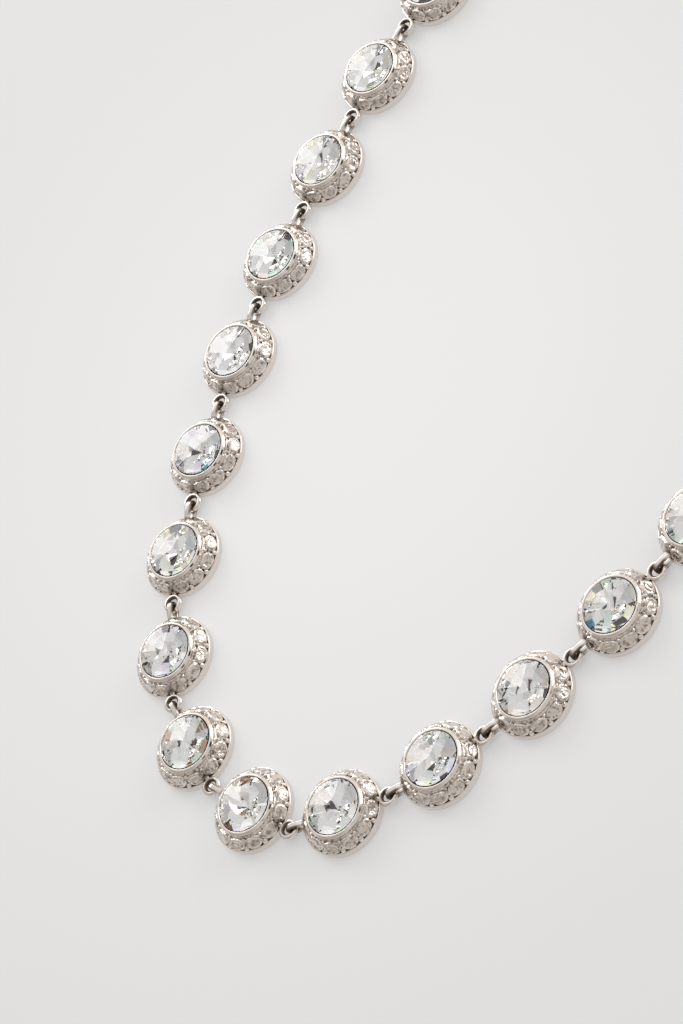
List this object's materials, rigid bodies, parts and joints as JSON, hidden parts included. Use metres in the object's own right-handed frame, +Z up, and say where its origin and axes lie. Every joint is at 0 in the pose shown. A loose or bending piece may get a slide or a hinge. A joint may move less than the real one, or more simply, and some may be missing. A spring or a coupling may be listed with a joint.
{
  "type": "solitaire necklace",
  "caption": "Closed necklace of round cast metal settings with a raised relief band, each holding a pointed round crystal and linked by a flat eye and an upright loop, with a plain clasp.",
  "frame": {"origin": "middle of the whole loop's box, on the surface that the necklace lies on", "axes": "+Z up, out of the stones; +Y from the front of the loop towards the clasp; +X to the right seen from the front"},
  "size_m": [0.1106, 0.172, 0.0037],
  "materials": {
    "metal": "polished white plating over cast metal, slightly warm",
    "crystal": "clear cut glass with a silver foil back"
  },
  "bodies": {
    "root": {"setting_01": "metal", "stone_01": "crystal", "setting_02": "metal", "stone_02": "crystal", "setting_03": "metal", "stone_03": "crystal", "setting_04": "metal", "stone_04": "crystal", "setting_05": "metal", "stone_05": "crystal", "setting_06": "metal", "stone_06": "crystal", "setting_07": "metal", "stone_07": "crystal", "setting_08": "metal", "stone_08": "crystal", "setting_09": "metal", "stone_09": "crystal", "setting_10": "metal", "stone_10": "crystal", "setting_11": "metal", "stone_11": "crystal", "setting_12": "metal", "stone_12": "crystal", "setting_13": "metal", "stone_13": "crystal", "setting_14": "metal", "stone_14": "crystal", "setting_15": "metal", "stone_15": "crystal", "setting_16": "metal", "stone_16": "crystal", "setting_17": "metal", "stone_17": "crystal", "setting_18": "metal", "stone_18": "crystal", "back_setting_01": "metal", "back_setting_02": "metal", "back_setting_03": "metal", "back_setting_04": "metal", "back_setting_05": "metal", "back_setting_06": "metal", "back_setting_07": "metal", "back_setting_08": "metal", "clasp": "metal"}
  },
  "joints": []
}
